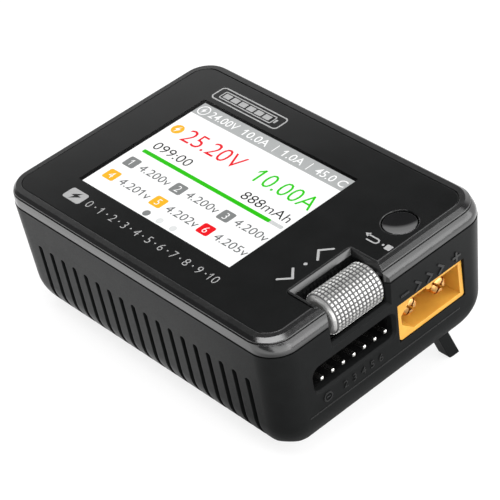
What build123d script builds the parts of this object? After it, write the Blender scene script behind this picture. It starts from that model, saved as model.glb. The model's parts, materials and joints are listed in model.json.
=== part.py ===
from build123d import *
from math import cos, radians, sin
import os

# Handheld balance charger for radio-control battery packs, with its stand swung open.
# Millimetres: origin at the centre of the case's underside, +X along the case
# towards the output end, +Y towards the back, +Z up.

# ---- driving dimensions: names ending in Z0/Z1 or Y0/Y1 are lower/upper limits ----
GAP = 0.02             # between stacked pieces
FIT = 0.01             # between small touching pieces

# Case
CASE_L = 72.8          # over the two end faces at the seam
CASE_W = 51.3          # front to back
CASE_H = 29.0          # underside to top plane
WALL = 1.8
CORNER_R = 5.3         # vertical corners in plan
TUB_R = 9.2            # bottom edges, all round
DRAFT = 0.045          # mm of inset per mm below the seam
SEAM_Z = 25.85         # top of the lower case
CAP_Z = 26.15          # bottom of the upper case's visible band
CAP_HX, CAP_HY = 36.35, 25.6         # half sizes of the band
RECESS_Z = 28.2        # floor of the recess the top panel sits in
PLATE_Z = 27.2         # underside of the upper case's top plate
PANEL_X0, PANEL_X1, PANEL_W, PANEL_R = -34.9, 33.45, 47.2, 3.6
PANEL_L = PANEL_X1 - PANEL_X0

# Screws: each grid is x spacing, y spacing, columns, rows
POST_GRID = (2 * 31.3, 2 * 21.2, 2, 2)
BOARD_GRID = (2 * 17.0, 2 * 20.0, 2, 2)
SEAT_Z = 8.0           # case screws' heads bear here
PILOT_R = 1.0
SHANK_R = 0.97

# Boards and display
BOARD_Z0, BOARD_Z1 = 9.2, 10.8       # main board
ON_BOARD = BOARD_Z1 + GAP
DISP_Z0, DISP_Z1 = 21.2, 22.4        # display board
ON_DISP = DISP_Z1 + FIT
LCD_X, LCD_Y = -6.69, 0.2            # centre of the display module
LCD_TOP = 28.16

# Scroll wheel and the notch it sits in
WHEEL_X, WHEEL_Y, WHEEL_Z = 32.93, -6.22, 25.86
WHEEL_R, WHEEL_LEN = 4.0, 11.8
AXLE_R = 0.6
NOTCH_X0, NOTCH_Y0, NOTCH_Y1 = 27.9, -12.6, 0.5
NOTCH_Y, NOTCH_W = (NOTCH_Y0 + NOTCH_Y1) / 2, NOTCH_Y1 - NOTCH_Y0
FLOOR_Z = 21.3         # floor of the wheel's pocket
LEDGE_Z = 21.8         # lip of the end wall under the wheel
RIM, RIM_RISE = 0.95, 0.12           # raised rim round the notch

# Exit button
BUTTON_X, BUTTON_Y, BUTTON_R = 28.95, 11.35, 3.2
STEM_Z = 24.45         # bottom of the button's stem

# Power connectors
OUT_Y, IN_Y = 10.4, 8.0
POWER_Z, POWER_W, POWER_H = 15.8, 16.0, 8.1
POWER_FACE = 35.6      # distance of the mouth from the case's centre
POWER_FIT = 0.3        # over the housing's full size
BULLET_R, BULLET_PITCH, TAIL_R = 1.75, 7.2, 1.15
BULLET_X = POWER_FACE - 9.48         # where the split bullets start

# Data port and signal header
USB_Y, USB_Z = -6.6, 12.5
SIGNAL_Y, SIGNAL_Z, SIGNAL_PITCH, SIGNAL_COUNT = -14.9, 12.9, 2.0, 3
PIN_W = 0.64           # square pins of both headers
PIN_HOLE = 0.68

# Balance port: pins and mouth
PINS_Y, PINS_Z, PINS_COUNT, PINS_PITCH = -7.63, 15.42, 7, 2.5
PINS_TIP = 35.2
BALANCE_Y0, BALANCE_Y1, BALANCE_Z0, BALANCE_Z1 = -17.4, 1.2, 13.8, 19.0
BALANCE_W, BALANCE_H = BALANCE_Y1 - BALANCE_Y0, BALANCE_Z1 - BALANCE_Z0
BALANCE_CENTRE = ((BALANCE_Y0 + BALANCE_Y1) / 2, (BALANCE_Z0 + BALANCE_Z1) / 2)

# Stand
HINGE_Y, HINGE_Z, BAR_R = 16.2, 2.0, 1.2
LEG_X, LEG_W, LEG_T, FOOT_Z, LEG_LEAN = 30.0, 2.5, 2.35, -5.3, 19.8


def mid(low, high):
    return (low + high) / 2


# ---- lower case ------------------------------------------------------------
SLOT_W = 1.15
SIDE_TOP = 18.8
SIDE_X = [-28.02 + 3.306 * i for i in range(18)]
BASE_Y = [0.2 + 3.28 * k for k in range(-5, 6)]
# side (1 front, -1 back), y distance where the cut starts, its depth, lowest z;
# the back vents stop above the stand's hinge
SIDE_VENTS = ((1, 15.6, 14, -4), (-1, 20.5, 9, 6.5))
# centre x and length, below the fan and the heat sink
BASE_VENTS = ((10.2, 16.4), (-14.5, 20.0))
# slot places, x distance where the cut starts, its depth
END_VENTS = (
    ([y for y in BASE_Y if y < 5], 27.4, 12),
    ([y for y in BASE_Y if y > 5], 32.6, 8),
)

POST_R = 2.45
POST_Z0, POST_H = 0.2, 19.4
STANDOFF_R, STANDOFF_Z0 = 2.1, 0.5

BEARING_X, BEARING_L = 23.0, 3.4     # snap bearings of the stand's bar
CHANNEL_SPANS = ((-31.5, -24.6), (-21.4, 21.4), (24.6, 31.5))
CHANNEL_W, CHANNEL_Z, CHANNEL_H = 2.9, 1.2, 4.4
LEG_POCKET_W = LEG_W + 0.5

# (x, z) of the cut through the end wall beside the wheel; the lip slopes inwards
LIP_PROFILE = (
    (32, 20.4), (34.3, 20.4), (34.3, 21.1), (35.0, LEDGE_Z),
    (38, LEDGE_Z), (38, 30), (32, 30),
)


def tub_section(z, skin):
    """Half sizes and corner radius of the lower case at height z, inset by skin."""
    inset = skin + DRAFT * (SEAM_Z - z)
    radius = TUB_R - skin
    height = z - skin
    if height < radius:
        inset += radius - (radius**2 - (radius - height) ** 2) ** 0.5
    corner = max(1.2, CORNER_R - skin * 0.9 - 0.3 * (inset - skin))
    return CASE_L / 2 - inset, CASE_W / 2 - inset, corner


def tub_solid(skin, angles, top):
    """Tub inset by skin: a rounded bottom edge through the angles, then drafted walls."""
    with BuildPart() as piece:
        for angle in angles:
            z = skin + (TUB_R - skin) * (1 - cos(radians(angle)))
            half_x, half_y, corner = tub_section(z, skin)
            with BuildSketch(Plane.XY.offset(z)):
                RectangleRounded(2 * half_x, 2 * half_y, corner)
        loft()
        for z in (TUB_R, top):
            half_x, half_y, corner = tub_section(z, skin)
            with BuildSketch(Plane.XY.offset(z)):
                RectangleRounded(2 * half_x, 2 * half_y, corner)
        loft(ruled=True)
    return piece.part


def tub_posts(tub):
    """Screw posts in the corners, trimmed to the tub."""
    with BuildPart() as piece:
        with BuildSketch(Plane.XY.offset(POST_Z0)):
            with GridLocations(*POST_GRID):
                Circle(POST_R)
        extrude(amount=POST_H)
        # clear the output connector
        with Locations((POWER_FACE - 10, OUT_Y, 20)):
            Box(30, POWER_W + POWER_FIT, 30, mode=Mode.SUBTRACT)
        add(tub, mode=Mode.INTERSECT)
    return piece.part


def hinge_walls(tub):
    """Walls round the stand's channel, and the main board's standoffs."""
    with BuildPart() as piece:
        with BuildSketch(Plane.XY.offset(1.0)):
            with Locations((0, HINGE_Y)):
                Rectangle(64.8, 5.4)
            with Locations((LEG_X, 12.6), (-LEG_X, 12.6)):
                Rectangle(4.8, 13.0)
        extrude(amount=3.6)
        with BuildSketch(Plane.XY.offset(STANDOFF_Z0)):
            with GridLocations(*BOARD_GRID):
                Circle(STANDOFF_R)
        extrude(amount=BOARD_Z0 - STANDOFF_Z0)
        add(tub, mode=Mode.INTERSECT)
    return piece.part


def notch_bevel():
    """Cutter for the bevelled edge of the wheel's notch in the end wall."""
    top = 31
    with BuildPart() as piece:
        for x, flare in ((35.5, 0.0), (36.7, 0.85)):
            with BuildSketch(Plane.YZ.offset(x)):
                with Locations((NOTCH_Y, mid(LEDGE_Z - flare, top))):
                    Rectangle(NOTCH_W + 2 * flare, top - LEDGE_Z + flare)
        loft(ruled=True)
    return piece.part


def window_bevel():
    """Cutter for the bevelled edge of the balance window."""
    with BuildPart() as piece:
        for x, flare in ((35.35, 0.0), (36.35, 0.8)):
            with BuildSketch(Plane.YZ.offset(x)):
                with Locations(BALANCE_CENTRE):
                    RectangleRounded(BALANCE_W + 2 * flare, BALANCE_H + 2 * flare, 1.3 + flare)
        loft(ruled=True)
    return piece.part


def lower_case():
    outer = tub_solid(0, (0, 14, 28, 42, 56, 72, 90), SEAM_Z)
    inner = tub_solid(WALL, (0, 20, 40, 60, 90), SEAM_Z + 1)
    posts = tub_posts(outer)
    walls = hinge_walls(outer)
    notch_cutter = notch_bevel()
    window_cutter = window_bevel()
    power_window = (6, POWER_W + POWER_FIT, POWER_H + POWER_FIT)

    with BuildPart() as piece:
        add(outer)
        add(inner, mode=Mode.SUBTRACT)

        # vents in the front and back walls
        for side, start, depth, low in SIDE_VENTS:
            with BuildSketch(Plane.XZ.offset(side * start)):
                with Locations(*[(x, mid(SIDE_TOP, low)) for x in SIDE_X]):
                    SlotOverall(SIDE_TOP - low, SLOT_W, rotation=90)
            extrude(amount=side * depth, mode=Mode.SUBTRACT)
        # vents in the underside
        with BuildSketch(Plane.XY.offset(-1)):
            for x, length in BASE_VENTS:
                with Locations(*[(x, y) for y in BASE_Y[1:9]]):
                    SlotOverall(length, SLOT_W)
        extrude(amount=3.0, mode=Mode.SUBTRACT)
        # vents over the rounded end edges
        for side in (1, -1):
            for places, start, depth in END_VENTS:
                with BuildSketch(Plane.YZ.offset(side * start)):
                    with Locations(*[(y, -0.3) for y in places]):
                        SlotOverall(8.4, SLOT_W, rotation=90)
                extrude(amount=side * depth, mode=Mode.SUBTRACT)

        add(posts)
        add(walls)
        # main board's pilot holes
        with BuildSketch(Plane.XY.offset(BOARD_Z0)):
            with GridLocations(*BOARD_GRID):
                Circle(PILOT_R)
        extrude(amount=-4.6, mode=Mode.SUBTRACT)
        # case screws' holes, counterbored from below
        for radius, depth in ((1.15, 24), (2.0, SEAT_Z + 1)):
            with BuildSketch(Plane.XY.offset(-1)):
                with GridLocations(*POST_GRID):
                    Circle(radius)
            extrude(amount=depth, mode=Mode.SUBTRACT)

        # channel for the stand's bar, left closed at the two snap bearings
        for x0, x1 in CHANNEL_SPANS:
            with Locations((mid(x0, x1), HINGE_Y, CHANNEL_Z)):
                Box(x1 - x0, CHANNEL_W, CHANNEL_H, mode=Mode.SUBTRACT)
        for side in (1, -1):
            with BuildSketch(Plane.YZ.offset(side * BEARING_X - BEARING_L / 2)):
                with Locations((HINGE_Y, HINGE_Z)):
                    Circle(BAR_R + 0.06)
                with Locations((HINGE_Y, 0.3)):
                    Rectangle(1.9, 2.8)
            extrude(amount=BEARING_L, mode=Mode.SUBTRACT)
            # pocket a leg folds into, with room at its back for the open leg
            with Locations((side * LEG_X, HINGE_Y - 4.6, CHANNEL_Z)):
                Box(LEG_POCKET_W, 9.2, CHANNEL_H, mode=Mode.SUBTRACT)
            with Locations((side * LEG_X, HINGE_Y + 1.4, 0.1)):
                Box(LEG_POCKET_W, 2.9, 3.2, mode=Mode.SUBTRACT)

        # output end: power window, balance window, open side of the wheel's notch
        with Locations((36, OUT_Y, POWER_Z)):
            Box(*power_window, mode=Mode.SUBTRACT)
        with BuildSketch(Plane.YZ.offset(33)):
            with Locations(BALANCE_CENTRE):
                RectangleRounded(BALANCE_W, BALANCE_H, 1.3)
        extrude(amount=6, mode=Mode.SUBTRACT)
        with BuildSketch(Plane.XZ.offset(-NOTCH_Y1)):
            with BuildLine():
                Polyline(*LIP_PROFILE, close=True)
            make_face()
        extrude(amount=NOTCH_W, mode=Mode.SUBTRACT)
        add(notch_cutter, mode=Mode.SUBTRACT)
        add(window_cutter, mode=Mode.SUBTRACT)

        # input end: power, data port and signal header windows
        with Locations((-36, IN_Y, POWER_Z)):
            Box(*power_window, mode=Mode.SUBTRACT)
        with BuildSketch(Plane.YZ.offset(-38)):
            with Locations((USB_Y, USB_Z)):
                RectangleRounded(9.6, 3.9, 1.9)
            with Locations((SIGNAL_Y, SIGNAL_Z)):
                RectangleRounded(6.6, 3.2, 0.4)
        extrude(amount=5, mode=Mode.SUBTRACT)
    return piece.part


# ---- upper case ------------------------------------------------------------
# Band from its foot up: z, extent towards -X, extent towards +X, half depth.
# The shoulder is rounded at the output end.
BAND_RINGS = (
    (CAP_Z, CAP_HX, CAP_HX, CAP_HY),
    (26.75, CAP_HX, CAP_HX, CAP_HY),
    (27.3, CAP_HX - 0.02, 36.1, CAP_HY - 0.01),
    (27.75, CAP_HX - 0.05, 35.72, CAP_HY - 0.03),
    (28.1, CAP_HX - 0.1, 35.3, CAP_HY - 0.05),
)
# Chamfered edge of the top plane: the same columns, then corner radius
TOP_RINGS = (
    (28.4, 36.2, 35.3, CAP_HY - 0.17, CORNER_R - 0.1),
    (28.52, 36.2, 35.22, CAP_HY - 0.22, CORNER_R - 0.1),
    (CASE_H, 35.85, 34.35, 24.8, CORNER_R - 0.5),
)
GROOVE_Z, GROOVE_H = 28.1, 0.3
GROOVE_X0, GROOVE_X1 = -36.1, 35.08

TONGUE_HX, TONGUE_HY, TONGUE_T = 34.45, 23.75, 1.0
TONGUE_DROP = 1.7      # reach below the seam

POCKET_X1 = 34.2       # end of the pocket's walls
POCKET_WALL, POCKET_FLOOR = 1.0, 0.8
NOTCH_OPEN_X = 40      # the notch's cuts run out past the end wall here
LEAD_IN = 0.55
RIM_Z0 = 26.8
BOSS_Z0 = 19.8


def upper_case():
    notch_cutter = notch_bevel()
    notch_place = (mid(NOTCH_X0, NOTCH_OPEN_X), NOTCH_Y)
    notch_l = NOTCH_OPEN_X - NOTCH_X0

    with BuildPart() as piece:
        for rings, ruled in ((BAND_RINGS[:2], True), (BAND_RINGS[1:], False)):
            for z, left, right, half_y in rings:
                with BuildSketch(Plane.XY.offset(z)):
                    with Locations((mid(-left, right), 0)):
                        RectangleRounded(left + right, 2 * half_y, CORNER_R)
            loft(ruled=ruled)
        # shadow groove
        with BuildSketch(Plane.XY.offset(GROOVE_Z)):
            with Locations((mid(GROOVE_X0, GROOVE_X1), 0)):
                RectangleRounded(GROOVE_X1 - GROOVE_X0, 2 * (CAP_HY - 0.25), CORNER_R - 0.2)
        extrude(amount=GROOVE_H)
        for z, left, right, half_y, corner in TOP_RINGS:
            with BuildSketch(Plane.XY.offset(z)):
                with Locations((mid(-left, right), 0)):
                    RectangleRounded(left + right, 2 * half_y, corner)
        loft(ruled=True)

        # hollow underside
        with BuildSketch(Plane.XY.offset(CAP_Z)):
            RectangleRounded(2 * (CAP_HX - WALL), 2 * (CAP_HY - WALL), CORNER_R - 1.6)
        extrude(amount=PLATE_Z - CAP_Z, mode=Mode.SUBTRACT)
        # tongue that drops inside the lower case
        with BuildSketch(Plane.XY.offset(SEAM_Z - TONGUE_DROP)):
            RectangleRounded(2 * TONGUE_HX, 2 * TONGUE_HY, 3.9)
            RectangleRounded(
                2 * (TONGUE_HX - TONGUE_T), 2 * (TONGUE_HY - TONGUE_T), 3.0, mode=Mode.SUBTRACT
            )
        extrude(amount=TONGUE_DROP + PLATE_Z + 0.1 - SEAM_Z)
        # gap in the tongue for the wheel's bracket
        with Locations((33.6, -7.5, 25.395)):
            Box(3.2, 23.8, 3.59, mode=Mode.SUBTRACT)
        # recess for the top panel
        with BuildSketch(Plane.XY.offset(CASE_H)):
            with Locations((mid(PANEL_X0, PANEL_X1), 0)):
                RectangleRounded(PANEL_L, PANEL_W, PANEL_R)
        extrude(amount=-(CASE_H - RECESS_Z), mode=Mode.SUBTRACT)
        # display window through the plate
        with BuildSketch(Plane.XY.offset(CASE_H)):
            with Locations((LCD_X, LCD_Y)):
                Rectangle(48.4, 33.6)
        extrude(amount=-4, mode=Mode.SUBTRACT)

        # walls and floor of the wheel's pocket
        with BuildSketch(Plane.XY.offset(FLOOR_Z - POCKET_FLOOR)):
            with Locations((mid(NOTCH_X0 - POCKET_WALL, POCKET_X1), NOTCH_Y)):
                Rectangle(POCKET_X1 - NOTCH_X0 + POCKET_WALL, NOTCH_W + 2 * POCKET_WALL)
        extrude(amount=CASE_H - 1.2 - FLOOR_Z + POCKET_FLOOR)
        # raised rim round its mouth
        with BuildSketch(Plane.XY.offset(RIM_Z0)):
            with Locations((mid(NOTCH_X0 - RIM, POCKET_X1), NOTCH_Y)):
                RectangleRounded(POCKET_X1 - NOTCH_X0 + RIM, NOTCH_W + 2 * RIM, 0.8)
        extrude(amount=CASE_H + RIM_RISE - RIM_Z0)
        # the notch itself
        with BuildSketch(Plane.XY.offset(FLOOR_Z)):
            with Locations(notch_place):
                Rectangle(notch_l, NOTCH_W)
        extrude(amount=10, mode=Mode.SUBTRACT)
        # sloped lead-in on the rim's inner edge, just breaking through its top
        for z, flare in ((CASE_H - 0.8, 0), (CASE_H + RIM_RISE + 0.001, LEAD_IN)):
            with BuildSketch(Plane.XY.offset(z)):
                with Locations(notch_place):
                    Rectangle(notch_l + 2 * flare, NOTCH_W + 2 * flare)
        loft(ruled=True, mode=Mode.SUBTRACT)
        add(notch_cutter, mode=Mode.SUBTRACT)
        # the pocket's floor stops short of the end wall's lip
        with Locations((36.4, NOTCH_Y, 20.5)):
            Box(4.4, NOTCH_W + 4, 3.0, mode=Mode.SUBTRACT)
        # slots in the pocket's side walls for the axle, long enough for the press
        with BuildSketch(Plane.XZ.offset(-4)):
            with Locations((WHEEL_X, WHEEL_Z - 0.3)):
                SlotOverall(2.4, 1.6, rotation=90)
        extrude(amount=20, mode=Mode.SUBTRACT)

        # button's hole
        with BuildSketch(Plane.XY.offset(CASE_H)):
            with Locations((BUTTON_X, BUTTON_Y)):
                Circle(BUTTON_R + 0.1)
        extrude(amount=-6, mode=Mode.SUBTRACT)
        # screw bosses and their pilot holes
        with BuildSketch(Plane.XY.offset(BOSS_Z0)):
            with GridLocations(*POST_GRID):
                Circle(2.0)
        extrude(amount=PLATE_Z + 0.4 - BOSS_Z0)
        with BuildSketch(Plane.XY.offset(19.0)):
            with GridLocations(*POST_GRID):
                Circle(PILOT_R)
        extrude(amount=7.0, mode=Mode.SUBTRACT)
    return piece.part


def top_panel():
    """Sheet over the display, cut away round the wheel's rim and the button."""
    fit = 0.1
    cut_x0, cut_x1 = NOTCH_X0 - RIM - fit, 45
    with BuildPart() as piece:
        with BuildSketch(Plane.XY.offset(RECESS_Z + GAP)):
            with Locations((mid(PANEL_X0, PANEL_X1), 0)):
                RectangleRounded(PANEL_L - 2 * fit, PANEL_W - 2 * fit, PANEL_R - fit)
            with Locations((mid(cut_x0, cut_x1), NOTCH_Y)):
                RectangleRounded(
                    cut_x1 - cut_x0, NOTCH_W + 2 * (RIM + fit), 0.9, mode=Mode.SUBTRACT
                )
            with Locations((BUTTON_X, BUTTON_Y)):
                Circle(BUTTON_R + 0.12, mode=Mode.SUBTRACT)
        extrude(amount=CASE_H - RECESS_Z - 0.06)
        chamfer(piece.faces().sort_by(Axis.Z)[-1].edges(), length=0.12)
    return piece.part


# ---- display ---------------------------------------------------------------
LCD_T, BACKLIGHT_T = 1.45, 1.33
BACKLIGHT_L, BACKLIGHT_W, BACKLIGHT_R = 47.6, 32.8, 0.6
BACKLIGHT_Z = LCD_TOP - LCD_T - GAP - BACKLIGHT_T
RIBBON_W = 12.0
# (x, z) down the ribbon's centre line
RIBBON_PATH = ((-30.79, 27.05), (-31.0, 26.65), (-31.0, 24.6), (-30.45, 24.0), (-25.0, 24.0))


def display_slab(length, width, corner, bottom, thickness):
    with BuildPart() as piece:
        with BuildSketch(Plane.XY.offset(bottom)):
            with Locations((LCD_X, LCD_Y)):
                RectangleRounded(length, width, corner)
        extrude(amount=thickness)
    return piece.part


def lcd_panel():
    return display_slab(48.0, 33.2, 0.4, LCD_TOP - LCD_T, LCD_T)


def lcd_backlight():
    return display_slab(BACKLIGHT_L, BACKLIGHT_W, BACKLIGHT_R, BACKLIGHT_Z, BACKLIGHT_T)


def lcd_frame():
    with BuildPart() as piece:
        with BuildSketch(Plane.XY.offset(DISP_Z1 + GAP)):
            with Locations((LCD_X, LCD_Y)):
                RectangleRounded(BACKLIGHT_L, BACKLIGHT_W, BACKLIGHT_R)
                RectangleRounded(43.0, 28.6, 0.6, mode=Mode.SUBTRACT)
        extrude(amount=BACKLIGHT_Z - GAP - (DISP_Z1 + GAP))
        # gap for the ribbon
        with Locations((-30, LCD_Y, 23.9)):
            Box(6, 13.0, 1.2, mode=Mode.SUBTRACT)
    return piece.part


def lcd_ribbon():
    with BuildPart() as piece:
        with BuildSketch(Plane.XZ.offset(-RIBBON_W / 2 - LCD_Y)):
            with BuildLine():
                for start, end in zip(RIBBON_PATH, RIBBON_PATH[1:]):
                    Line(start, end)
                offset(amount=0.08)
            make_face()
        extrude(amount=RIBBON_W)
    return piece.part


# ---- exit button, and the press switches of button and wheel -----------------
BUTTON_TOP = CASE_H - 0.15
DISH_R, DISH_DEPTH = 12.0, 0.45
# stem, flange, cap: bottom z, top z, radius
BUTTON_STEPS = (
    (STEM_Z, 25.55, 1.6),
    (25.55, 26.45, 3.75),
    (26.45, BUTTON_TOP, BUTTON_R - 0.04),
)
WHEEL_SWITCH_X = 23.9
CARRIAGE_ARM_Z = 23.85               # underside of the carriage's arm


def exit_button():
    with BuildPart() as piece:
        for bottom, top, radius in BUTTON_STEPS:
            with BuildSketch(Plane.XY.offset(bottom)):
                with Locations((BUTTON_X, BUTTON_Y)):
                    Circle(radius)
            extrude(amount=top - bottom)
        fillet(piece.edges().filter_by(GeomType.CIRCLE).sort_by(Axis.Z)[-1], 0.35)
        # shallow finger dish
        with Locations((BUTTON_X, BUTTON_Y, BUTTON_TOP + DISH_R - DISH_DEPTH)):
            Sphere(DISH_R, mode=Mode.SUBTRACT)
    return piece.part


def switch_body(place, size, corner, height, bore_r, bore_depth):
    """Switch body on the display board, bored for its plunger."""
    with BuildPart() as piece:
        with BuildSketch(Plane.XY.offset(ON_DISP)):
            with Locations(place):
                RectangleRounded(*size, corner)
        extrude(amount=height)
        with BuildSketch(Plane.XY.offset(ON_DISP + height)):
            with Locations(place):
                Circle(bore_r)
        extrude(amount=-bore_depth, mode=Mode.SUBTRACT)
    return piece.part


def plunger(place, radius, bottom, top):
    with BuildPart() as piece:
        with BuildSketch(Plane.XY.offset(bottom)):
            with Locations(place):
                Circle(radius)
        extrude(amount=top - bottom)
    return piece.part


def exit_switch():
    return switch_body(
        (BUTTON_X, BUTTON_Y), size=(4.5, 4.5), corner=0.4, height=1.5, bore_r=1.08, bore_depth=0.8
    )


def exit_plunger():
    return plunger((BUTTON_X, BUTTON_Y), radius=1.0, bottom=DISP_Z1 + 1.15, top=STEM_Z - FIT)


def wheel_switch():
    return switch_body(
        (WHEEL_SWITCH_X, WHEEL_Y),
        size=(2.2, 3.4), corner=0.2, height=1.0, bore_r=0.68, bore_depth=0.86,
    )


def wheel_plunger():
    return plunger(
        (WHEEL_SWITCH_X, WHEEL_Y), radius=0.6, bottom=DISP_Z1 + 0.55, top=CARRIAGE_ARM_Z - FIT
    )


# ---- scroll wheel ----------------------------------------------------------
FLUTES, RINGS = 32, 13
WHEEL_EDGE = 0.6       # plain length at each end of the knurling
# distance in from the wheel's end, radius
WHEEL_END = ((0, AXLE_R), (0, 2.9), (0.25, 3.4), (WHEEL_EDGE, 3.72))
# fraction of the ring pitch, radius
RING_PROFILE = ((0.12, 3.75), (0.28, WHEEL_R), (0.72, WHEEL_R), (0.88, 3.75))

# The carriage and the encoder share these limits
CARRIAGE_X1, CARRIAGE_Z0, CARRIAGE_Z1 = 33.85, 22.95, 26.83
# (x, z) of the carriage, with an arm over the switch
CARRIAGE_PROFILE = (
    (23.0, CARRIAGE_ARM_Z), (24.9, CARRIAGE_ARM_Z), (24.9, CARRIAGE_Z0),
    (CARRIAGE_X1, CARRIAGE_Z0), (CARRIAGE_X1, CARRIAGE_Z1), (32.0, CARRIAGE_Z1),
    (31.0, 25.55), (23.0, 25.55),
)
# (x, z)
ENCODER_PROFILE = (
    (31.4, CARRIAGE_Z0), (CARRIAGE_X1, CARRIAGE_Z0), (CARRIAGE_X1, CARRIAGE_Z1),
    (32.0, CARRIAGE_Z1), (31.4, 26.1),
)
CARRIAGE_Y0, CARRIAGE_Y1 = -15.1, 3.0
AXLE_HOLE_R = AXLE_R + 0.05


def scroll_wheel():
    front, back = WHEEL_Y - WHEEL_LEN / 2, WHEEL_Y + WHEEL_LEN / 2
    pitch = (WHEEL_LEN - 2 * WHEEL_EDGE) / RINGS
    profile = [(front + inset, radius) for inset, radius in WHEEL_END]
    for ring in range(RINGS):
        start = front + WHEEL_EDGE + pitch * ring
        profile += [(start + pitch * part, radius) for part, radius in RING_PROFILE]
    profile += [(back - inset, radius) for inset, radius in reversed(WHEEL_END)]

    with BuildPart() as piece:
        with BuildSketch(Plane.YZ.offset(WHEEL_X)):
            with BuildLine():
                Polyline(*[(y, WHEEL_Z + radius) for y, radius in profile], close=True)
            make_face()
        revolve(axis=Axis((WHEEL_X, 0, WHEEL_Z), (0, 1, 0)))
        # flutes along the wheel turn the rings into square knurling
        with BuildSketch(Plane.XZ.offset(-front - 0.5)):
            with Locations((WHEEL_X, WHEEL_Z)):
                with PolarLocations(WHEEL_R + 0.02, FLUTES):
                    Rectangle(0.34, 0.5, rotation=90)
        extrude(amount=-(WHEEL_LEN - 1.0), mode=Mode.SUBTRACT)
    return piece.part


def wheel_axle():
    with BuildPart() as piece:
        with BuildSketch(Plane.XZ.offset(16.9)):
            with Locations((WHEEL_X, WHEEL_Z)):
                Circle(AXLE_R - 0.005)
        extrude(amount=-19.8)
    return piece.part


def wheel_carriage():
    """Bracket that carries the axle and dips when the wheel is pressed."""
    with BuildPart() as piece:
        with BuildSketch(Plane.XZ.offset(-CARRIAGE_Y1)):
            with BuildLine():
                Polyline(*CARRIAGE_PROFILE, close=True)
            make_face()
        extrude(amount=CARRIAGE_Y1 - CARRIAGE_Y0)
        # room for the wheel's pocket
        with Locations((30.3, NOTCH_Y, 24.5)):
            Box(10.8, 15.6, 8, mode=Mode.SUBTRACT)
        with BuildSketch(Plane.XZ.offset(-5)):
            with Locations((WHEEL_X, WHEEL_Z)):
                Circle(AXLE_HOLE_R)
        extrude(amount=24, mode=Mode.SUBTRACT)
    return piece.part


def wheel_encoder():
    with BuildPart() as piece:
        with BuildSketch(Plane.XZ.offset(-(CARRIAGE_Y0 - GAP))):
            with BuildLine():
                Polyline(*ENCODER_PROFILE, close=True)
            make_face()
            with Locations((WHEEL_X, WHEEL_Z)):
                Circle(AXLE_HOLE_R, mode=Mode.SUBTRACT)
        extrude(amount=2.0)
    return piece.part


# ---- boards ----------------------------------------------------------------
MAIN_L, MAIN_W = 66.8, 44.8
DISPLAY_L, DISPLAY_W = 66.0, 43.6
BOARD_R = 2.0
CUTOUT_X0, CUTOUT_L = 26.3, 10       # display board's cut-out round the wheel
LINK_PLACE = (-8.0, -19.2)
LINK_GRID = (1.27, 1.2, 10, 2)       # x pitch, y pitch, columns, rows


def main_board():
    with BuildPart() as piece:
        with BuildSketch(Plane.XY.offset(BOARD_Z0)):
            RectangleRounded(MAIN_L, MAIN_W, BOARD_R)
            with GridLocations(*POST_GRID):
                Circle(2.75, mode=Mode.SUBTRACT)
            with GridLocations(MAIN_L, MAIN_W, 2, 2):
                Rectangle(8.2, 7.4, mode=Mode.SUBTRACT)
            with GridLocations(*BOARD_GRID):
                Circle(1.15, mode=Mode.SUBTRACT)
        extrude(amount=BOARD_Z1 - BOARD_Z0)
    return piece.part


def display_board():
    with BuildPart() as piece:
        with BuildSketch(Plane.XY.offset(DISP_Z0)):
            RectangleRounded(DISPLAY_L, DISPLAY_W, BOARD_R)
            with GridLocations(DISPLAY_L, DISPLAY_W, 2, 2):
                Rectangle(8.6, 7.0, mode=Mode.SUBTRACT)
            with Locations((CUTOUT_X0 + CUTOUT_L / 2, NOTCH_Y)):
                Rectangle(CUTOUT_L, 17.0, mode=Mode.SUBTRACT)
        extrude(amount=DISP_Z1 - DISP_Z0)
    return piece.part


def board_link():
    """Socket strip between the two boards."""
    with BuildPart() as piece:
        with BuildSketch(Plane.XY.offset(ON_BOARD)):
            with Locations(LINK_PLACE):
                Rectangle(14.0, 2.4)
                with GridLocations(*LINK_GRID):
                    Rectangle(0.5, 0.5, mode=Mode.SUBTRACT)
        extrude(amount=8.0)
    return piece.part


def link_pins():
    with BuildPart() as piece:
        with BuildSketch(Plane.XY.offset(ON_BOARD)):
            with Locations(LINK_PLACE):
                with GridLocations(*LINK_GRID):
                    Rectangle(0.4, 0.4)
        extrude(amount=DISP_Z0 - GAP - ON_BOARD)
    return piece.part


# ---- power connectors: keyed shell with two split bullet pins ----------------
# side is 1 at the output end and -1 at the input end
HOUSING_X0 = 19.5      # inner end of the housing
TAIL_X0, SOLDER_X = 17.0, 18.0
MOUTH_DEPTH = 9.5
KEY = 2.6              # cut of the keyed corners, at the mouth's front
BULLET_TIP = POWER_FACE - 1.2


def bullet_places(centre_y):
    return [(centre_y + side * BULLET_PITCH / 2, POWER_Z) for side in (-1, 1)]


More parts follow.
